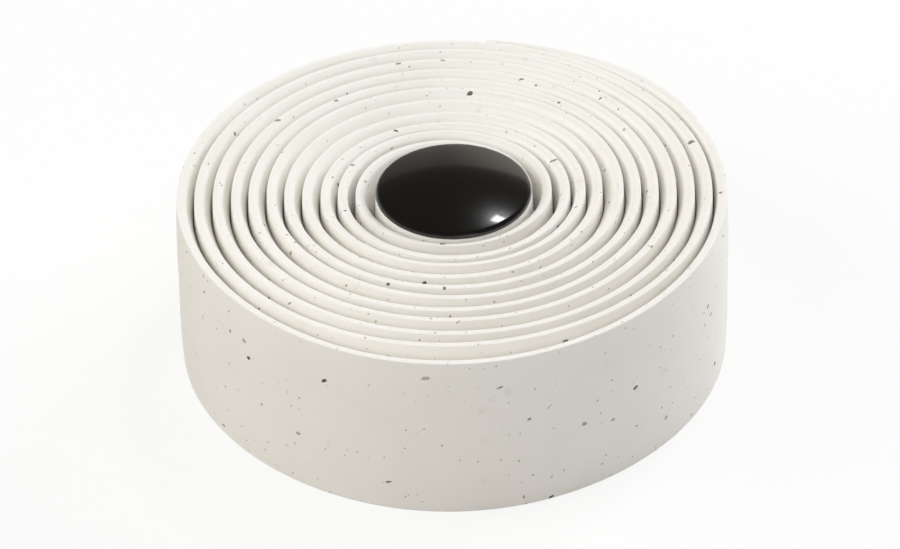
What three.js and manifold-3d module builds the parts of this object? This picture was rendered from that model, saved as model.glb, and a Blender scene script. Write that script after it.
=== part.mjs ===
import * as THREE from "three";
import { mergeVertices } from "three/addons/utils/BufferGeometryUtils.js";
import Module from "manifold-3d";

// A roll of padded handlebar tape standing on its flat side, with a domed plug in its core.
// Millimetres, Z up. The camera of the photograph looks along +Y, and the tape's outer end is at the back.

// The tape's section: full thickness along the middle, thin bevelled edges
const TAPE_WIDTH = 30;
const TAPE_THICKNESS = 2.94;
const EDGE_TAPER_DEPTH = 7;
const OUTER_CROWN = 0.25;
const RIM_OUTER_BEVEL = 0.2;
const RIM_OUTER_BEVEL_DROP = 0.3;
const RIM_FLAT = 0.85;
const RIM_INNER_BEVEL = 0.49;
const RIM_INNER_BEVEL_DROP = 0.45;
const FULL_RIM_NEEDS = 2.3;

// The winding: angles in degrees, counter-clockwise from the right, growing outwards
const STEPS_PER_TURN = 40;
const STEP_ANGLE = 360 / STEPS_PER_TURN;
const INNER_END_ANGLE = 109;
const OUTER_END_ANGLE = 12 * 360 + 82;
const STEP_COUNT = Math.round((OUTER_END_ANGLE - INNER_END_ANGLE) / STEP_ANGLE);
const CORE_EDGE_RADIUS = 12.77;
const BORE_RADIUS = 10.08;
const SECOND_EDGE_RADIUS = 15.6;
const PITCH = 2.93;

// Each turn climbs on to the one below between the right side and this angle, then keeps its radius
const CLIMB_END = 150;

// The core is round. From there the roll goes out of round: it sits further back than its core,
// is wider than deep, and leans a little.
const ROUND_CORE_END = 300;
const SETTLING_ANGLE = 180;
const BACKWARD_SHIFT = 0.85;
const OVALITY = 0.42;
const LEAN = 0.18;

// Places where the hand-wound turns stand loose (rise over 0) or pressed in (rise under 0)
const WINDING_SPOTS = [
  { turn: 12, angle: 268, angleSpread: 42, turnSpread: 0.45, rise: 2.2 },
  { turn: 12, angle: 100, angleSpread: 30, turnSpread: 0.4, rise: -0.45 },
  { turn: 13, angle: 15, angleSpread: 45, turnSpread: 0.4, rise: -0.6 },
  { turn: 11, angle: 255, angleSpread: 60, turnSpread: 0.4, rise: 0.5 },
  { turn: 12, angle: 55, angleSpread: 30, turnSpread: 0.4, rise: -0.6 },
  { turn: 10, angle: 285, angleSpread: 40, turnSpread: 0.4, rise: 0.4 },
  { turn: 9, angle: 235, angleSpread: 50, turnSpread: 0.5, rise: -0.4 },
  { turn: 8.5, angle: 325, angleSpread: 25, turnSpread: 0.8, rise: -0.4 },
  { turn: 7.2, angle: 115, angleSpread: 45, turnSpread: 0.7, rise: 0.6 },
  { turn: 7, angle: 45, angleSpread: 40, turnSpread: 0.45, rise: 0.45 },
  { turn: 6.8, angle: 235, angleSpread: 45, turnSpread: 0.7, rise: -0.75 },
  { turn: 4.7, angle: 345, angleSpread: 35, turnSpread: 0.8, rise: -0.7 },
  { turn: 4.5, angle: 105, angleSpread: 45, turnSpread: 0.9, rise: -1.0 },
  { turn: 4, angle: 260, angleSpread: 60, turnSpread: 0.5, rise: -0.4 },
  { turn: 3, angle: 285, angleSpread: 60, turnSpread: 0.45, rise: 0.75 },
];

// The outer end was pressed flat against the turn below it, and the inner end a little under the rest
const PRESSED_ANGLE = 50;
const PRESSED_THICKNESS = 0.4;
const INNER_PRESSED_ANGLE = 70;
const INNER_PRESSED_DROP = 1.1;

// The push-in plug
const SEAT_GAP = 0.3;
const HEAD_RADIUS = 12.8;
const HEAD_FOOT_ROUND = 0.2;
const HEAD_EDGE_HEIGHT = 0.25;
const HEAD_EDGE_ROUND = 0.9;
const HEAD_EDGE_POINTS = 4;
const DOME_RISE = 1.8;
const DOME_RINGS = 6;
const ROOF_THICKNESS = 2.2;
const STEM_LENGTH = 17;
const STEM_RADIUS = 9.2;
const STEM_INNER_RADIUS = 7.6;
const STEM_ROOT_RADIUS = 9.8;
const STEM_ROOT_HEIGHT = 1.8;
const STEM_TIP_RADIUS = 8.5;
const STEM_TIP_HEIGHT = 1.2;
const BARB_COUNT = 4;
const FIRST_BARB_LIFT = 0.4;
const BARB_RADIUS = 9.7;
const BARB_SPACING = 3;
const BARB_RISE = 1.6;
const BARB_BACK = 0.5;
const SLOT_WIDTH = 2;
const SLOT_HEIGHT = 12.5;
const SLOTTED_DIAMETERS = 3;
const PLUG_SEGMENTS = 48;

const RADIANS = Math.PI / 180;
const MERGE_DISTANCE = 1e-5;

function smoothStep(fraction) {
  const x = Math.min(1, Math.max(0, fraction));
  return x * x * (3 - 2 * x);
}

// The radius of the turn's outer rim where it passes the right side for the n-th time
function radiusAtRight(n) {
  if (n <= 1) {
    return CORE_EDGE_RADIUS;
  }
  return SECOND_EDGE_RADIUS + PITCH * (n - 2);
}

// The outer face's radius at mid-width, at a winding angle in degrees
function windingRadius(angle) {
  const n = Math.floor(angle / 360);
  const local = angle - 360 * n;
  const climb = (radiusAtRight(n + 1) - radiusAtRight(n)) * smoothStep(local / CLIMB_END);
  const turned = local * RADIANS;
  const wave = BACKWARD_SHIFT * Math.sin(turned) + OVALITY * Math.cos(2 * turned) + LEAN * Math.sin(2 * turned);
  const outOfRound = wave * smoothStep((angle - ROUND_CORE_END) / SETTLING_ANGLE);
  let slack = 0;
  for (const spot of WINDING_SPOTS) {
    const turnsAway = (angle - spot.angle) / 360 + 1 - spot.turn;
    let degreesAway = (((local - spot.angle) % 360) + 540) % 360;
    degreesAway -= 180;
    const nearness = Math.exp(-((degreesAway / spot.angleSpread) ** 2) - (turnsAway / spot.turnSpread) ** 2);
    slack += spot.rise * nearness;
  }
  return radiusAtRight(n) + climb + outOfRound + slack + OUTER_CROWN;
}

// Outer boundaries station by station, then the pressed outer end
const boundary = [];
for (let i = 0; i <= STEP_COUNT; i += 1) {
  const angle = INNER_END_ANGLE + i * STEP_ANGLE;
  let radius = windingRadius(angle);
  const fromEnd = OUTER_END_ANGLE - angle;
  radius -= INNER_PRESSED_DROP * (1 - smoothStep((angle - INNER_END_ANGLE) / INNER_PRESSED_ANGLE));
  if (fromEnd < PRESSED_ANGLE) {
    const below = boundary[i - STEPS_PER_TURN];
    const spacing = radius - below;
    radius = below + PRESSED_THICKNESS + (spacing - PRESSED_THICKNESS) * smoothStep(fromEnd / PRESSED_ANGLE);
  }
  boundary.push(radius);
}

// The first turn lies round the bore, then climbs on to the tape's inner end
function innerRadius(i) {
  if (i >= STEPS_PER_TURN) {
    return boundary[i - STEPS_PER_TURN];
  }
  return Math.min(Math.max(boundary[i] - TAPE_THICKNESS, BORE_RADIUS), boundary[0]);
}

// How much of the full edge shape there is room for at a station
function edgeRoom(i) {
  return Math.min(1, (boundary[i] - innerRadius(i)) / FULL_RIM_NEEDS);
}

// The tape is one solid: its turns touch along the middle of their width,
// and a deep tapered groove parts them at the top and at the bottom.
function makeTapeRoll() {
  const positions = [];
  const triangles = [];

  function addPoint(i, radius, height) {
    const angle = (INNER_END_ANGLE + i * STEP_ANGLE) * RADIANS;
    positions.push(radius * Math.cos(angle), radius * Math.sin(angle), height);
    return positions.length / 3 - 1;
  }

  function addQuad(a, b, c, d) {
    triangles.push(a, b, c, a, c, d);
  }

  // A pair is the point near the top edge and its mirror image near the bottom edge
  function addPair(i, radius, drop) {
    return [addPoint(i, radius, TAPE_WIDTH - drop), addPoint(i, radius, drop)];
  }

  const bore = [];
  for (let i = 0; i < STEPS_PER_TURN; i += 1) {
    bore.push(addPair(i, innerRadius(i), EDGE_TAPER_DEPTH));
  }
  const grooves = [];
  for (let i = 0; i <= STEP_COUNT; i += 1) {
    const above = i + STEPS_PER_TURN;
    const room = above <= STEP_COUNT ? edgeRoom(above) : 1;
    grooves.push(addPair(i, boundary[i], EDGE_TAPER_DEPTH * room));
  }
  const sections = [];
  for (let i = 0; i <= STEP_COUNT; i += 1) {
    const room = edgeRoom(i);
    const crownEdge = boundary[i] - OUTER_CROWN * room;
    const flatOuter = crownEdge - RIM_OUTER_BEVEL * room;
    const flatInner = flatOuter - RIM_FLAT * room;
    const innerEdge = flatInner - RIM_INNER_BEVEL * room;
    sections.push([
      i < STEPS_PER_TURN ? bore[i] : grooves[i - STEPS_PER_TURN],
      addPair(i, innerEdge, RIM_INNER_BEVEL_DROP * room),
      addPair(i, flatInner, 0),
      addPair(i, flatOuter, 0),
      addPair(i, crownEdge, RIM_OUTER_BEVEL_DROP * room),
      grooves[i],
    ]);
  }

  const last = sections[0].length - 1;
  for (let i = 0; i < STEP_COUNT; i += 1) {
    const here = sections[i];
    const next = sections[i + 1];
    for (let k = 0; k < last; k += 1) {
      addQuad(here[k][0], here[k + 1][0], next[k + 1][0], next[k][0]);
      addQuad(here[k + 1][1], here[k][1], next[k][1], next[k + 1][1]);
    }
    if (i < STEPS_PER_TURN) {
      addQuad(here[0][1], here[0][0], next[0][0], next[0][1]);
    }
    if (i >= STEP_COUNT - STEPS_PER_TURN) {
      addQuad(here[last][1], next[last][1], next[last][0], here[last][0]);
    }
  }

  // The two cut ends of the tape
  function addEnd(i, facesBackwards) {
    const section = sections[i];
    const ring = section.map((pair) => pair[1]);
    ring.push(...section.map((pair) => pair[0]).reverse());
    const angle = (INNER_END_ANGLE + i * STEP_ANGLE) * RADIANS;
    const outline = ring.map((index) => {
      const x = positions[3 * index];
      const y = positions[3 * index + 1];
      return new THREE.Vector2(x * Math.cos(angle) + y * Math.sin(angle), positions[3 * index + 2]);
    });
    for (const [a, b, c] of THREE.ShapeUtils.triangulateShape(outline, [])) {
      if (facesBackwards) {
        triangles.push(ring[a], ring[b], ring[c]);
      } else {
        triangles.push(ring[a], ring[c], ring[b]);
      }
    }
  }
  addEnd(0, true);
  addEnd(STEP_COUNT, false);

  const geometry = new THREE.BufferGeometry();
  geometry.setAttribute("position", new THREE.Float32BufferAttribute(positions, 3));
  geometry.setIndex(triangles);
  return geometry;
}

// Booleans work on closed meshes that share their vertices
const wasm = await Module();
wasm.setup();

function toSolid(geometry) {
  const bare = geometry.clone();
  bare.deleteAttribute("normal");
  bare.deleteAttribute("uv");
  const merged = mergeVertices(bare, MERGE_DISTANCE);
  return new wasm.Manifold(new wasm.Mesh({
    numProp: 3,
    vertProperties: Float32Array.from(merged.attributes.position.array),
    triVerts: Uint32Array.from(merged.index.array),
  }));
}

function toGeometry(solid) {
  const mesh = solid.getMesh();
  const geometry = new THREE.BufferGeometry();
  geometry.setAttribute("position", new THREE.BufferAttribute(mesh.vertProperties, 3));
  geometry.setIndex(new THREE.BufferAttribute(mesh.triVerts, 1));
  return geometry;
}

// The plug is one moulding: a shallow domed head over a hollow, barbed stem that is slit into
// springy fingers. Its heights are measured from the underside of the head.
function makePlug() {
  const edgeSweep = Math.PI / 2 - Math.atan((2 * DOME_RISE) / HEAD_RADIUS);
  const edgeTop = HEAD_EDGE_HEIGHT + HEAD_EDGE_ROUND * Math.sin(edgeSweep);
  const domeRadius = HEAD_RADIUS - HEAD_EDGE_ROUND * (1 - Math.cos(edgeSweep));
  const roofUnderside = edgeTop + DOME_RISE - ROOF_THICKNESS;
  const profile = [
    new THREE.Vector2(0, roofUnderside),
    new THREE.Vector2(STEM_INNER_RADIUS, roofUnderside),
    new THREE.Vector2(STEM_INNER_RADIUS, -STEM_LENGTH),
    new THREE.Vector2(STEM_TIP_RADIUS, -STEM_LENGTH),
    new THREE.Vector2(STEM_RADIUS, STEM_TIP_HEIGHT - STEM_LENGTH),
  ];
  for (let barb = 0; barb < BARB_COUNT; barb += 1) {
    const start = STEM_TIP_HEIGHT - STEM_LENGTH + FIRST_BARB_LIFT + barb * BARB_SPACING;
    profile.push(new THREE.Vector2(STEM_RADIUS, start));
    profile.push(new THREE.Vector2(BARB_RADIUS, start + BARB_RISE));
    profile.push(new THREE.Vector2(STEM_RADIUS, start + BARB_RISE + BARB_BACK));
  }
  profile.push(new THREE.Vector2(STEM_RADIUS, -STEM_ROOT_HEIGHT));
  profile.push(new THREE.Vector2(STEM_ROOT_RADIUS, 0));
  profile.push(new THREE.Vector2(HEAD_RADIUS - HEAD_FOOT_ROUND, 0));
  profile.push(new THREE.Vector2(HEAD_RADIUS, HEAD_FOOT_ROUND));
  for (let point = 0; point < HEAD_EDGE_POINTS; point += 1) {
    const sweep = (edgeSweep * point) / HEAD_EDGE_POINTS;
    const inset = HEAD_EDGE_ROUND * (1 - Math.cos(sweep));
    profile.push(new THREE.Vector2(HEAD_RADIUS - inset, HEAD_EDGE_HEIGHT + HEAD_EDGE_ROUND * Math.sin(sweep)));
  }
  for (let ring = 0; ring <= DOME_RINGS; ring += 1) {
    const share = 1 - ring / DOME_RINGS;
    profile.push(new THREE.Vector2(domeRadius * share, edgeTop + DOME_RISE * (1 - share * share)));
  }
  const turned = new THREE.LatheGeometry(profile, PLUG_SEGMENTS);
  turned.rotateX(Math.PI / 2);

  let solid = toSolid(turned);
  for (let slot = 0; slot < SLOTTED_DIAMETERS; slot += 1) {
    const cutter = new THREE.BoxGeometry(3 * HEAD_RADIUS, SLOT_WIDTH, 2 * SLOT_HEIGHT);
    cutter.rotateZ((slot * Math.PI) / SLOTTED_DIAMETERS);
    cutter.translate(0, 0, -STEM_LENGTH);
    solid = solid.subtract(toSolid(cutter));
  }
  return toGeometry(solid);
}

const foam = new THREE.MeshStandardMaterial({ color: 0xf1f0e8, roughness: 0.85, metalness: 0 });
const glossPlastic = new THREE.MeshStandardMaterial({ color: 0x141211, roughness: 0.12, metalness: 0 });

const tapeGeometry = makeTapeRoll();
const tapeRoll = new THREE.Mesh(tapeGeometry, foam);
tapeRoll.name = "tape_roll";

const endPlug = new THREE.Mesh(makePlug(), glossPlastic);
endPlug.name = "end_plug";
endPlug.position.z = TAPE_WIDTH + SEAT_GAP;

// The origin is under the middle of the roll's outline, on the surface that it stands on
tapeGeometry.computeBoundingBox();
const middle = tapeGeometry.boundingBox.getCenter(new THREE.Vector3());
const roll = new THREE.Group();
roll.position.set(-middle.x, -middle.y, 0);
roll.add(tapeRoll, endPlug);

const group = new THREE.Group();
group.add(roll);

export default group;
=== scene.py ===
import math

import bmesh
import bpy
from mathutils import Matrix, Vector


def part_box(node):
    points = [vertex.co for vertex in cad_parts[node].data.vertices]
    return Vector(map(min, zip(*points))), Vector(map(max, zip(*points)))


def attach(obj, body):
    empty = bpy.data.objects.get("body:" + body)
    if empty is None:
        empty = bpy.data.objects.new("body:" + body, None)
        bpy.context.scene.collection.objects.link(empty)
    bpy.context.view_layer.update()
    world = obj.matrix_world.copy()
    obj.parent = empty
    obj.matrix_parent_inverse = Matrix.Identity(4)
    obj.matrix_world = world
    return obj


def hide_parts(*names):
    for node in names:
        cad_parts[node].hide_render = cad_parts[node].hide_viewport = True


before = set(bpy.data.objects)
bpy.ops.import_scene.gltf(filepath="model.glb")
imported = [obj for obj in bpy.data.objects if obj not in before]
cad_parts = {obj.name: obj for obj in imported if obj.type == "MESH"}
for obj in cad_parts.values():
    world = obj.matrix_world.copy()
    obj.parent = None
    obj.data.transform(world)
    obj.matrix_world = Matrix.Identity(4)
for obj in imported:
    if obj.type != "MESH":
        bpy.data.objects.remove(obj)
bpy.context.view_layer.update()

MM = 0.001
# Corners of a mesh that lie nearer than this are one corner
MERGE_DISTANCE = 1e-7
WHITE = (1, 1, 1, 1)

roll_low, roll_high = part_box("tape_roll")
plug_low, plug_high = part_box("end_plug")

# The plug's axis is the axis that the tape is wound round. The row's origin is under the middle of the
# roll's outline, which lies beside that axis because a spiral isn't symmetric.
AXIS = Vector(((plug_low[0] + plug_high[0]) / 2, (plug_low[1] + plug_high[1]) / 2, 0))
TAPE_WIDTH = roll_high[2] - roll_low[2]


def add_object(name, data):
    """A new object in the scene that shows this mesh, lamp or camera."""
    added = bpy.data.objects.new(name, data)
    bpy.context.collection.objects.link(added)
    return added


def add_shape(name, shape):
    """A new object in the scene with the mesh that was built in this bmesh, which is freed."""
    mesh = bpy.data.meshes.new(name)
    shape.to_mesh(mesh)
    shape.free()
    return add_object(name, mesh)


def add_material(name, looks):
    """A new material, its node tree and its shader, with these values at the shader's inputs."""
    material = bpy.data.materials.new(name)
    material.use_nodes = True
    shader = material.node_tree.nodes["Principled BSDF"]
    for socket, value in looks.items():
        shader.inputs[socket].default_value = value
    return material, material.node_tree, shader


def add_node(tree, kind, inputs, **settings):
    """A new node. Each of its inputs takes a plain value or the output of another node."""
    node = tree.nodes.new(kind)
    for setting, value in settings.items():
        setattr(node, setting, value)
    for socket, value in inputs.items():
        if isinstance(value, bpy.types.NodeSocket):
            tree.links.new(value, node.inputs[socket])
        else:
            node.inputs[socket].default_value = value
    return node


def calculate(tree, operation, first, second):
    return add_node(tree, "ShaderNodeMath", {0: first, 1: second}, operation=operation).outputs["Value"]


def remap(tree, value, low, high, low_result=0, high_result=1):
    """Goes from one result to the other while the value goes from low to high, and stays there beyond."""
    ends = {"From Min": low, "From Max": high, "To Min": low_result, "To Max": high_result}
    return add_node(tree, "ShaderNodeMapRange", {"Value": value, **ends}).outputs["Result"]


def mix_colours(tree, factor, first, second):
    inputs = {"Factor": factor, "A": first, "B": second}
    return add_node(tree, "ShaderNodeMix", inputs, data_type="RGBA").outputs["Result"]


def mix_shaders(tree, factor, first, second):
    return add_node(tree, "ShaderNodeMixShader", {"Fac": factor, 1: first, 2: second}).outputs["Shader"]


def any_ray(tree, *kinds):
    """1 for the rays of any of these kinds, and else 0."""
    ray = add_node(tree, "ShaderNodeLightPath", {})
    fraction = ray.outputs[kinds[0]]
    for kind in kinds[1:]:
        fraction = calculate(tree, "MAXIMUM", ray.outputs[kind], fraction)
    return fraction


def add_relief(tree, shader, place, scale, detail, strength, depth):
    """Fine relief for the light only, of that depth in mm."""
    noise = add_node(tree, "ShaderNodeTexNoise", {"Vector": place, "Scale": scale, "Detail": detail})
    height = {"Height": noise.outputs["Fac"], "Strength": strength, "Distance": depth * MM}
    relief = add_node(tree, "ShaderNodeBump", height)
    tree.links.new(relief.outputs["Normal"], shader.inputs["Normal"])


# The camera stands in front of the roll and looks down on it. The photograph's middle lies below the
# plug, so the camera aims at a point further down its own picture plane.
CAMERA_ELEVATION = math.radians(36.2)
CAMERA_DISTANCE = 1150 * MM
CAMERA_ROLL = math.radians(-1.1)
SENSOR_WIDTH = 36
PIXELS_PER_METRE = 6110
PICTURE_WIDTH = 900
PICTURE_HEIGHT = 549
# Where the middle of the core's upper edge lies in the photograph
CORE_PIXEL_X = 453.5
CORE_PIXEL_Y = 193.4

core_top = AXIS + Vector((0, 0, TAPE_WIDTH))
towards_camera = Vector((0, -math.cos(CAMERA_ELEVATION), math.sin(CAMERA_ELEVATION)))
level_right = Vector((1, 0, 0))
level_up = Vector((0, math.sin(CAMERA_ELEVATION), math.cos(CAMERA_ELEVATION)))
picture_right = math.cos(CAMERA_ROLL) * level_right + math.sin(CAMERA_ROLL) * level_up
picture_up = math.cos(CAMERA_ROLL) * level_up - math.sin(CAMERA_ROLL) * level_right
across = (PICTURE_WIDTH / 2 - CORE_PIXEL_X) / PIXELS_PER_METRE
down = (PICTURE_HEIGHT / 2 - CORE_PIXEL_Y) / PIXELS_PER_METRE
aim = core_top + across * picture_right - down * picture_up

camera_data = bpy.data.cameras.new("camera")
camera_data.sensor_width = SENSOR_WIDTH
camera_data.lens = PIXELS_PER_METRE * CAMERA_DISTANCE / PICTURE_WIDTH * SENSOR_WIDTH
camera = add_object("camera", camera_data)
camera.location = core_top + CAMERA_DISTANCE * towards_camera
look = (aim - camera.location).to_track_quat("-Z", "Y")
camera.rotation_mode = "QUATERNION"
camera.rotation_quaternion = look @ Matrix.Rotation(CAMERA_ROLL, 4, "Z").to_quaternion()
bpy.context.scene.camera = camera
bpy.context.scene.view_settings.view_transform = "Standard"

# The floor is a plain white table top under the roll. Seen or mirrored it is nearly white, with only a
# faint soft shadow. The light that it throws up at the roll is weaker, warmer on the left and brighter on
# the right, as in the photograph.
FLOOR_HALF = 3.0
FLOOR_ROUGHNESS = 0.9
FLOOR_LEFT_COLOUR = (0.42, 0.385, 0.32, 1)
FLOOR_RIGHT_COLOUR = (0.76, 0.745, 0.76, 1)
FLOOR_BLEND_FROM = -0.06
FLOOR_BLEND_TO = 0.06
FLOOR_SEEN_COLOUR = (0.95, 0.95, 0.945, 1)
WHITENING = 0.75

floor_mesh = bmesh.new()
bmesh.ops.create_grid(floor_mesh, x_segments=1, y_segments=1, size=FLOOR_HALF)
floor = add_shape("floor", floor_mesh)

floor_looks = {"Roughness": FLOOR_ROUGHNESS, "Specular IOR Level": 0}
floor_paint, tree, shader = add_material("table_white", floor_looks)
place = add_node(tree, "ShaderNodeTexCoord", {}).outputs["Object"]
split = add_node(tree, "ShaderNodeSeparateXYZ", {"Vector": place})
rightwards = remap(tree, split.outputs["X"], FLOOR_BLEND_FROM, FLOOR_BLEND_TO)
bounce = mix_colours(tree, rightwards, FLOOR_LEFT_COLOUR, FLOOR_RIGHT_COLOUR)
seen = any_ray(tree, "Is Transmission Ray", "Is Glossy Ray", "Is Camera Ray")
floor_colour = mix_colours(tree, seen, bounce, FLOOR_SEEN_COLOUR)
tree.links.new(floor_colour, shader.inputs["Base Color"])
whitening = calculate(tree, "MULTIPLY", seen, WHITENING)
pure_white = add_node(tree, "ShaderNodeEmission", {"Color": WHITE})
seen_floor = mix_shaders(tree, whitening, shader.outputs["BSDF"], pure_white.outputs["Emission"])
tree.links.new(seen_floor, tree.nodes["Material Output"].inputs["Surface"])
floor.data.materials.append(floor_paint)

# The studio round the roll gives the foam an even, weak fill from all sides, and the camera sees it white.
# Mirrored in the plug it is a warm backdrop under a dark ceiling. The backdrop is brighter towards the
# right, where it ends.
FILL_COLOUR = (1, 1, 0.975, 1)
FILL_LEVEL = 0.35
BACKDROP_COLOUR = (1, 0.93, 0.82, 1)
BACKDROP_LEFT_LEVEL = 0.26
BACKDROP_RIGHT_LEVEL = 1.2
BRIGHTENING_END = 0.4
BACKDROP_END = 0.4
BACKDROP_END_BLUR = 0.15
BEYOND_BACKDROP = 0.1
BACKDROP_TOP = 0.40
BACKDROP_TOP_BLUR = 0.05
CEILING_LEVEL = 0.06

world = bpy.data.worlds.new("studio")
bpy.context.scene.world = world
world.use_nodes = True
tree = world.node_tree
tree.nodes.clear()
fill_light = add_node(tree, "ShaderNodeBackground", {"Color": FILL_COLOUR, "Strength": FILL_LEVEL})
white_wall = add_node(tree, "ShaderNodeBackground", {"Color": WHITE})
direction = add_node(tree, "ShaderNodeTexCoord", {}).outputs["Generated"]
split = add_node(tree, "ShaderNodeSeparateXYZ", {"Vector": direction})
sideways = remap(
    tree, split.outputs["X"], 0, BRIGHTENING_END, BACKDROP_LEFT_LEVEL, BACKDROP_RIGHT_LEVEL
)
backdrop_end = remap(
    tree, split.outputs["X"], BACKDROP_END, BACKDROP_END + BACKDROP_END_BLUR, 1, BEYOND_BACKDROP
)
backdrop_level = calculate(tree, "MULTIPLY", sideways, backdrop_end)
backdrop = remap(
    tree, split.outputs["Z"], BACKDROP_TOP, BACKDROP_TOP + BACKDROP_TOP_BLUR, backdrop_level, CEILING_LEVEL
)
mirrored = add_node(tree, "ShaderNodeBackground", {"Color": BACKDROP_COLOUR, "Strength": backdrop})
glossy = any_ray(tree, "Is Glossy Ray")
unseen = mix_shaders(tree, glossy, fill_light.outputs["Background"], mirrored.outputs["Background"])
straight = any_ray(tree, "Is Transmission Ray", "Is Camera Ray")
studio = mix_shaders(tree, straight, unseen, white_wall.outputs["Background"])
add_node(tree, "ShaderNodeOutputWorld", {"Surface": studio})

# Soft studio boxes face the roll, and only the small one that makes the plug's highlight is mirrored. The
# heading is counter-clockwise from the right, as the winding's is, and the level is what the box adds to
# the light on a level surface, where 1 shows white as white.
BOX_DISTANCE = 1.2

# Name, heading, elevation, width and height, level, colour, and whether gloss mirrors it
SOFT_BOXES = (
    ("box_left", 180, 30, (0.8, 0.8), 0.165, (1, 0.995, 0.965), False),
    ("box_front_left", 225, 44, (0.8, 0.8), 0.165, (1, 1, 0.97), False),
    ("box_front", 270, 38, (0.8, 0.8), 0.065, (1, 1, 0.99), False),
    ("box_right", 0, 62, (0.8, 0.8), 0.085, (0.96, 0.985, 1), False),
    ("box_back_right", 40, 19, (0.8, 0.5), 0.19, (0.96, 0.98, 1), False),
    ("box_highlight", 58.5, 58, (0.13, 0.09), 0.065, (1, 1, 1), True),
)

for name, heading, elevation, size, level, light_colour, is_mirrored in SOFT_BOXES:
    turn = math.radians(heading)
    lift = math.radians(elevation)
    lamp_data = bpy.data.lights.new(name, "AREA")
    lamp_data.shape = "RECTANGLE"
    lamp_data.size = size[0]
    lamp_data.size_y = size[1]
    lamp_data.energy = math.pi ** 2 * level * BOX_DISTANCE ** 2 / math.sin(lift)
    lamp_data.color = light_colour
    lamp = add_object(name, lamp_data)
    lamp.visible_glossy = is_mirrored
    towards = Vector((math.cos(turn) * math.cos(lift), math.sin(turn) * math.cos(lift), math.sin(lift)))
    lamp.location = BOX_DISTANCE * towards
    lamp.rotation_mode = "QUATERNION"
    lamp.rotation_quaternion = (-towards).to_track_quat("-Z", "Y")

# The tape is one strip of cork-flecked foam, 30 mm wide and thin towards its long edges. It is wound on
# edge from the core outwards, and its turns press on each other along the middle of the width.
TURN_STEPS = 120
STEP_ANGLE = 360 / TURN_STEPS
INNER_END_ANGLE = 109
OUTER_END_ANGLE = 12 * 360 + 82
CORE_EDGE_RADIUS = 12.77
BORE_RADIUS = 10.08
SECOND_EDGE_RADIUS = 15.6
PITCH = 2.93
TAPE_THICKNESS = 2.94
OUTER_CROWN = 0.25
CLIMB_END = 150
ROUND_CORE_END = 300
SETTLING_ANGLE = 180
BACKWARD_SHIFT = 0.85
OVALITY = 0.42
LEAN = 0.18
INNER_PRESSED_ANGLE = 70
INNER_PRESSED_DROP = 1.1
PRESSED_ANGLE = 50
PRESSED_THICKNESS = 0.4
TURN_CLEARANCE = 0.015

# Turn, angle, spread of angle, spread of turns and rise of each loose or pressed place
WINDING_SPOTS = (
    (12, 268, 42, 0.45, 2.2),
    (12, 100, 30, 0.4, -0.45),
    (13, 15, 45, 0.4, -0.6),
    (11, 255, 60, 0.4, 0.5),
    (12, 55, 30, 0.4, -0.6),
    (10, 285, 40, 0.4, 0.4),
    (9, 235, 50, 0.5, -0.4),
    (8.5, 325, 25, 0.8, -0.4),
    (7.2, 115, 45, 0.7, 0.6),
    (7, 45, 40, 0.45, 0.45),
    (6.8, 235, 45, 0.7, -0.75),
    (4.7, 345, 35, 0.8, -0.7),
    (4.5, 105, 45, 0.9, -1.0),
    (4, 260, 60, 0.5, -0.4),
    (3, 285, 60, 0.45, 0.75),
)


def smooth_step(fraction):
    """Eases from 0 to 1 while the fraction goes from 0 to 1, and stays there beyond."""
    x = min(1, max(0, fraction))
    return x * x * (3 - 2 * x)


def radius_at_right(n):
    """The crown's edge on the right of the roll, where turn n starts."""
    if n <= 1:
        return CORE_EDGE_RADIUS
    return SECOND_EDGE_RADIUS + PITCH * (n - 2)


def winding_radius(angle):
    """The tape's outer face at this angle of the winding, before its outer end is pressed flat."""
    n = math.floor(angle / 360)
    local = angle - 360 * n
    climb = (radius_at_right(n + 1) - radius_at_right(n)) * smooth_step(local / CLIMB_END)
    turned = math.radians(local)
    wave = BACKWARD_SHIFT * math.sin(turned) + OVALITY * math.cos(2 * turned) + LEAN * math.sin(2 * turned)
    out_of_round = wave * smooth_step((angle - ROUND_CORE_END) / SETTLING_ANGLE)
    slack = 0
    for turn, spot_angle, angle_spread, turn_spread, rise in WINDING_SPOTS:
        turns_away = (angle - spot_angle) / 360 + 1 - turn
        degrees_away = (local - spot_angle + 540) % 360 - 180
        slack += rise * math.exp(-((degrees_away / angle_spread) ** 2) - (turns_away / turn_spread) ** 2)
    pressed = INNER_PRESSED_DROP * (1 - smooth_step((angle - INNER_END_ANGLE) / INNER_PRESSED_ANGLE))
    return radius_at_right(n) + climb + out_of_round + slack + OUTER_CROWN - pressed


step_count = round((OUTER_END_ANGLE - INNER_END_ANGLE) / STEP_ANGLE)
outer_faces = []
for step in range(step_count + 1):
    angle = INNER_END_ANGLE + step * STEP_ANGLE
    radius = winding_radius(angle)
    from_end = OUTER_END_ANGLE - angle
    if from_end < PRESSED_ANGLE:
        pressed_flat = outer_faces[step - TURN_STEPS] + PRESSED_THICKNESS
        radius = pressed_flat + (radius - pressed_flat) * smooth_step(from_end / PRESSED_ANGLE)
    outer_faces.append(radius)

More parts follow.
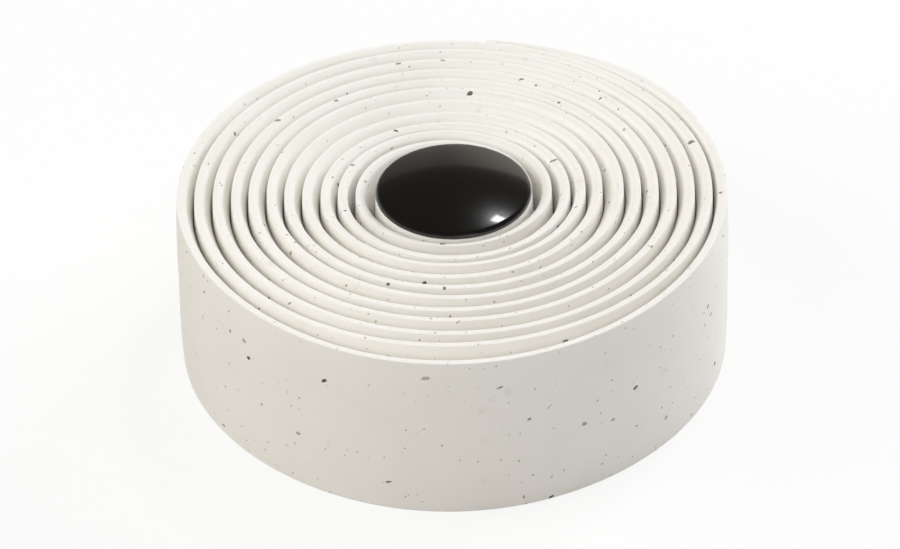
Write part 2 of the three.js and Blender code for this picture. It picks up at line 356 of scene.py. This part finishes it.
# Half of the section, from the middle of the outer face over the rim to the middle of the inner face. The
# faces give the share of the taper towards the rim and the depth below it. The rim gives the distance from
# its outer corner and the depth: a rounded corner, a flat, a fine crease and an inner bevel.
RIM_WIDTH = 1.54
FULL_RIM_NEEDS = 2.3
OUTER_FACE = ((0.0, 15.0), (0.0, 9.0), (0.06, 6.4), (0.3, 4.0), (0.65, 2.0), (0.9, 0.9))
RIM_CORNER = ((0.0, 0.22), (0.02, 0.1), (0.06, 0.03), (0.13, 0.0))
RIM_FLAT = ((0.2, 0.0), (0.74, 0.0))
RIM_CREASE = ((0.79, 0.005), (0.85, 0.06), (0.92, 0.07), (1.0, 0.1))
RIM_INNER_BEVEL = ((1.3, 0.24), (RIM_WIDTH, 0.42))
INNER_FACE = (
    (0.83, 0.77),
    (0.64, 1.22),
    (0.45, 1.75),
    (0.26, 2.3),
    (0.11, 2.85),
    (0.04, 3.6),
    (0.0, 7.0),
    (0.0, 15.0),
)
# The first turns lie looser on the core, so the grooves beside the plug are steep and deep
LOOSE_INNER_FACE = (
    (0.95, 0.8),
    (0.88, 1.5),
    (0.8, 2.4),
    (0.68, 3.4),
    (0.5, 4.5),
    (0.25, 5.7),
    (0.0, 7.0),
    (0.0, 15.0),
)
LOOSE_END_ANGLE = 950
TIGHTENING_ANGLE = 300


def half_section(outer, inner, looseness):
    room = min(1, (outer - inner) / FULL_RIM_NEEDS)
    crown_edge = outer - OUTER_CROWN * room
    inner_edge = crown_edge - RIM_WIDTH * room
    points = [(outer - OUTER_CROWN * room * share, depth) for share, depth in OUTER_FACE]
    for inset, depth in RIM_CORNER + RIM_FLAT + RIM_CREASE + RIM_INNER_BEVEL:
        points.append((crown_edge - inset * room, depth * room))
    for (share, depth), (loose_share, loose_depth) in zip(INNER_FACE, LOOSE_INNER_FACE):
        share += (loose_share - share) * looseness
        depth += (loose_depth - depth) * looseness
        points.append((inner + (inner_edge - inner) * share, depth))
    return points


def tape_section(step):
    """The whole section at this step, as a loop of radius and height in mm."""
    outer = outer_faces[step]
    if step >= TURN_STEPS:
        inner = outer_faces[step - TURN_STEPS] + TURN_CLEARANCE
    else:
        inner = min(max(outer - TAPE_THICKNESS, BORE_RADIUS), outer_faces[0] + TURN_CLEARANCE)
    angle = INNER_END_ANGLE + step * STEP_ANGLE
    looseness = 1 - smooth_step((angle - LOOSE_END_ANGLE) / TIGHTENING_ANGLE)
    upper = half_section(outer, inner, looseness)
    width = TAPE_WIDTH / MM
    loop = [(radius, width - depth) for radius, depth in upper]
    loop += [(radius, depth) for radius, depth in reversed(upper[1:-1])]
    return loop


# A flat grid, one row of points for each place round the section and one column for each step of the
# winding, is rolled up into the section and wound along the spiral
section_size = len(tape_section(0))
tape_mesh = bmesh.new()
bmesh.ops.create_grid(tape_mesh, x_segments=section_size, y_segments=step_count, size=1)
tape_mesh.verts.ensure_lookup_table()
for step in range(step_count + 1):
    turn = math.radians(INNER_END_ANGLE + step * STEP_ANGLE)
    outwards = Vector((math.cos(turn), math.sin(turn), 0))
    section = tape_section(step)
    for place in range(section_size + 1):
        radius, height = section[place % section_size]
        vert = tape_mesh.verts[step * (section_size + 1) + place]
        vert.co = AXIS + outwards * radius * MM + Vector((0, 0, height * MM))
bmesh.ops.remove_doubles(tape_mesh, verts=tape_mesh.verts, dist=MERGE_DISTANCE)
end_edges = [edge for edge in tape_mesh.edges if edge.is_boundary]
bmesh.ops.holes_fill(tape_mesh, edges=end_edges, sides=0)
bmesh.ops.recalc_face_normals(tape_mesh, faces=tape_mesh.faces)
for face in tape_mesh.faces:
    # Only the cut ends of the tape, which have a corner for each point of the section, are flat
    face.smooth = len(face.verts) == 4
wound_tape = add_shape("wound_tape", tape_mesh)

# Off-white foam, slightly clouded, with cork granules all through it: a few large and dark, many tiny, and
# some pale ones that lie just under the surface. Fine open pores roughen it.
FOAM_ROUGHNESS = 0.75
FOAM_SPECULAR = 0.25
FOAM_COLOUR = (0.945, 0.921, 0.878, 1)
FOAM_CLOUD_COLOUR = (0.90, 0.875, 0.815, 1)
CORK_COLOUR = (0.085, 0.058, 0.032, 1)
BROWN_CORK_COLOUR = (0.24, 0.16, 0.085, 1)
COVERED_CORK_COLOUR = (0.50, 0.46, 0.38, 1)
CLOUD_SCALE = 90
CLOUD_DETAIL = 3
CLOUD_FROM = 0.45
CLOUD_TO = 0.75
CLOUD_STRENGTH = 0.5
WANDER_SCALE = 900
WANDER_DETAIL = 2
WANDER_PER_RADIUS = 2.2
SEED_ACROSS = 0.37
SEED_UP = 0.61
FAINTEST_GRANULE = 0.45
PORE_SCALE = 3500
PORE_DETAIL = 3
PORE_STRENGTH = 0.25
PORE_DEPTH = 0.05

# Cell, largest radius, share of the cells, softness, stretch, turn, seed, colour and strength
GRANULES = (
    (4.2, 1.1, 0.7, 0.9, 1.2, (20, 0, 0), 3.1, COVERED_CORK_COLOUR, 0.3),
    (1.4, 0.22, 0.65, 0.4, 1.3, (0, 35, 0), 7.7, CORK_COLOUR, 0.65),
    (1.2, 0.18, 0.6, 0.4, 1.8, (0, 80, 25), 5.3, BROWN_CORK_COLOUR, 0.85),
    (2.9, 0.43, 0.9, 0.2, 1.7, (0, 75, 10), 1.9, CORK_COLOUR, 1.0),
    (3.4, 0.36, 0.8, 0.2, 2.8, (25, 20, 0), 9.4, BROWN_CORK_COLOUR, 1.0),
)


def add_granules(tree, place, cell, radius, share, softness, stretch, turned, seed):
    """A mask of granules in the foam, of up to that radius in mm, in that share of the cells."""
    placing = {
        "Vector": place,
        "Location": (seed, SEED_ACROSS * seed, SEED_UP * seed),
        "Rotation": [math.radians(degrees) for degrees in turned],
        "Scale": (1, 1, stretch),
    }
    spot = add_node(tree, "ShaderNodeMapping", placing, vector_type="TEXTURE").outputs["Vector"]
    noise = {"Vector": spot, "Scale": WANDER_SCALE, "Detail": WANDER_DETAIL}
    wander = add_node(tree, "ShaderNodeTexNoise", noise).outputs["Color"]
    centring = {0: wander, 1: (0.5, 0.5, 0.5)}
    centred = add_node(tree, "ShaderNodeVectorMath", centring, operation="SUBTRACT").outputs["Vector"]
    push = {0: centred, 1: (WANDER_PER_RADIUS * radius * MM,) * 3, 2: spot}
    pushed = add_node(tree, "ShaderNodeVectorMath", push, operation="MULTIPLY_ADD").outputs["Vector"]
    cells = add_node(tree, "ShaderNodeTexVoronoi", {"Vector": pushed, "Scale": 1 / (cell * MM)})
    pick = add_node(tree, "ShaderNodeSeparateColor", {"Color": cells.outputs["Color"]})
    size = remap(tree, pick.outputs["Red"], 1 - share, 1, 0, radius / cell)
    inside = calculate(tree, "SUBTRACT", size, cells.outputs["Distance"])
    depth = remap(tree, inside, 0, softness * radius / cell)
    faded = remap(tree, pick.outputs["Green"], 0, 1, FAINTEST_GRANULE, 1)
    return calculate(tree, "MULTIPLY", depth, faded)


foam_looks = {"Roughness": FOAM_ROUGHNESS, "Specular IOR Level": FOAM_SPECULAR}
foam, tree, shader = add_material("cork_flecked_foam", foam_looks)
place = add_node(tree, "ShaderNodeTexCoord", {}).outputs["Object"]
mottle_inputs = {"Vector": place, "Scale": CLOUD_SCALE, "Detail": CLOUD_DETAIL}
mottle = add_node(tree, "ShaderNodeTexNoise", mottle_inputs)
cloud = remap(tree, mottle.outputs["Fac"], CLOUD_FROM, CLOUD_TO)
cloud_weight = calculate(tree, "MULTIPLY", cloud, CLOUD_STRENGTH)
colour = mix_colours(tree, cloud_weight, FOAM_COLOUR, FOAM_CLOUD_COLOUR)
for cell, radius, share, softness, stretch, turned, seed, cork_colour, strength in GRANULES:
    mask = add_granules(tree, place, cell, radius, share, softness, stretch, turned, seed)
    weight = calculate(tree, "MULTIPLY", mask, strength)
    colour = mix_colours(tree, weight, colour, cork_colour)
tree.links.new(colour, shader.inputs["Base Color"])
add_relief(tree, shader, place, PORE_SCALE, PORE_DETAIL, PORE_STRENGTH, PORE_DEPTH)
wound_tape.data.materials.append(foam)
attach(wound_tape, "root")
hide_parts("tape_roll")

# The plug is one gloss black moulding: a shallow dome that turns down into a thin edge, over a hollow barbed
# stem, slit into fingers that grip in the core. It is pushed in until its edge sits on the core's edge.
SEAT_GAP = 0.06
SEAT_HEIGHT = roll_high[2] + SEAT_GAP * MM
HEAD_RADIUS = 12.8
HEAD_FOOT_ROUND = 0.2
HEAD_FOOT_POINTS = 3
HEAD_EDGE_HEIGHT = 0.25
HEAD_EDGE_ROUND = 0.9
HEAD_EDGE_POINTS = 10
DOME_RISE = 1.8
DOME_RINGS = 18
ROOF_THICKNESS = 2.2
STEM_LENGTH = 17
STEM_RADIUS = 9.2
STEM_INNER_RADIUS = 7.6
STEM_ROOT_RADIUS = 9.8
STEM_ROOT_HEIGHT = 1.8
STEM_TIP_RADIUS = 8.5
STEM_TIP_HEIGHT = 1.2
BARB_COUNT = 4
FIRST_BARB_LIFT = 0.4
BARB_RADIUS = 9.7
BARB_SPACING = 3
BARB_RISE = 1.6
BARB_BACK = 0.5
SLIT_WIDTH = 2
SLIT_HEIGHT = 12.5
SLIT_REACH = 3 * HEAD_RADIUS
SLIT_DIAMETERS = 3
PLUG_SEGMENTS = 160
SHARP_EDGE_ANGLE = 38

edge_sweep = math.pi / 2 - math.atan(2 * DOME_RISE / HEAD_RADIUS)
edge_top = HEAD_EDGE_HEIGHT + HEAD_EDGE_ROUND * math.sin(edge_sweep)
dome_radius = HEAD_RADIUS - HEAD_EDGE_ROUND * (1 - math.cos(edge_sweep))
roof_underside = edge_top + DOME_RISE - ROOF_THICKNESS
profile = [
    (0, roof_underside),
    (STEM_INNER_RADIUS, roof_underside),
    (STEM_INNER_RADIUS, -STEM_LENGTH),
    (STEM_TIP_RADIUS, -STEM_LENGTH),
    (STEM_RADIUS, STEM_TIP_HEIGHT - STEM_LENGTH),
]
for barb in range(BARB_COUNT):
    start = STEM_TIP_HEIGHT - STEM_LENGTH + FIRST_BARB_LIFT + barb * BARB_SPACING
    profile.append((STEM_RADIUS, start))
    profile.append((BARB_RADIUS, start + BARB_RISE))
    profile.append((STEM_RADIUS, start + BARB_RISE + BARB_BACK))
profile += [(STEM_RADIUS, -STEM_ROOT_HEIGHT), (STEM_ROOT_RADIUS, 0)]
for point in range(HEAD_FOOT_POINTS + 1):
    sweep = math.pi / 2 * point / HEAD_FOOT_POINTS
    inset = HEAD_FOOT_ROUND * (1 - math.sin(sweep))
    profile.append((HEAD_RADIUS - inset, HEAD_FOOT_ROUND * (1 - math.cos(sweep))))
for point in range(HEAD_EDGE_POINTS):
    sweep = edge_sweep * point / HEAD_EDGE_POINTS
    inset = HEAD_EDGE_ROUND * (1 - math.cos(sweep))
    profile.append((HEAD_RADIUS - inset, HEAD_EDGE_HEIGHT + HEAD_EDGE_ROUND * math.sin(sweep)))
for ring in range(DOME_RINGS + 1):
    share = 1 - ring / DOME_RINGS
    profile.append((dome_radius * share, edge_top + DOME_RISE * (1 - share * share)))

plug_mesh = bmesh.new()
corners = [plug_mesh.verts.new((radius * MM, 0, SEAT_HEIGHT + height * MM)) for radius, height in profile]
rim_edges = [plug_mesh.edges.new(pair) for pair in zip(corners, corners[1:])]
bmesh.ops.spin(
    plug_mesh,
    geom=corners + rim_edges,
    cent=(0, 0, 0),
    axis=(0, 0, 1),
    angle=2 * math.pi,
    steps=PLUG_SEGMENTS,
    use_merge=True,
)
bmesh.ops.remove_doubles(plug_mesh, verts=plug_mesh.verts, dist=MERGE_DISTANCE)
bmesh.ops.recalc_face_normals(plug_mesh, faces=plug_mesh.faces)
bmesh.ops.translate(plug_mesh, verts=plug_mesh.verts, vec=AXIS)
for face in plug_mesh.faces:
    face.smooth = True
domed_plug = add_shape("domed_plug", plug_mesh)

# The slits run up the stem from its tip, each one across a whole diameter
slit_mesh = bmesh.new()
for slit in range(SLIT_DIAMETERS):
    cut = bmesh.ops.create_cube(slit_mesh, size=1)
    size = (SLIT_REACH * MM, SLIT_WIDTH * MM, 2 * SLIT_HEIGHT * MM)
    bmesh.ops.scale(slit_mesh, verts=cut["verts"], vec=size)
    turn = Matrix.Rotation(math.pi * slit / SLIT_DIAMETERS, 3, "Z")
    bmesh.ops.rotate(slit_mesh, verts=cut["verts"], cent=(0, 0, 0), matrix=turn)
tip = AXIS + Vector((0, 0, SEAT_HEIGHT - STEM_LENGTH * MM))
bmesh.ops.translate(slit_mesh, verts=slit_mesh.verts, vec=tip)
slits = add_shape("stem_slits", slit_mesh)
cut_slits = domed_plug.modifiers.new("cut_slits", "BOOLEAN")
cut_slits.operation = "DIFFERENCE"
cut_slits.solver = "EXACT"
cut_slits.use_self = True
cut_slits.object = slits
depsgraph = bpy.context.evaluated_depsgraph_get()
plug_data = bpy.data.meshes.new_from_object(domed_plug.evaluated_get(depsgraph))
plug_data.set_sharp_from_angle(angle=math.radians(SHARP_EDGE_ANGLE))

# The plug keeps the mesh with the slits, and the two that it was made from are deleted
spent_meshes = (domed_plug.data, slits.data)
domed_plug.modifiers.clear()
domed_plug.data = plug_data
bpy.data.objects.remove(slits)
for mesh in spent_meshes:
    bpy.data.meshes.remove(mesh)

PLASTIC_COLOUR = (0.006, 0.0055, 0.005, 1)
PLASTIC_ROUGHNESS = 0.22
COAT_WEIGHT = 0.55
COAT_ROUGHNESS = 0.06
FLOW_SCALE = 160
FLOW_DETAIL = 1
FLOW_STRENGTH = 0.15
FLOW_DEPTH = 0.05
plastic_looks = {
    "Base Color": PLASTIC_COLOUR,
    "Roughness": PLASTIC_ROUGHNESS,
    "Coat Weight": COAT_WEIGHT,
    "Coat Roughness": COAT_ROUGHNESS,
}
gloss, tree, shader = add_material("gloss_black_plastic", plastic_looks)
place = add_node(tree, "ShaderNodeTexCoord", {}).outputs["Object"]
add_relief(tree, shader, place, FLOW_SCALE, FLOW_DETAIL, FLOW_STRENGTH, FLOW_DEPTH)
plug_data.materials.append(gloss)
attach(domed_plug, "root")
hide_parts("end_plug")
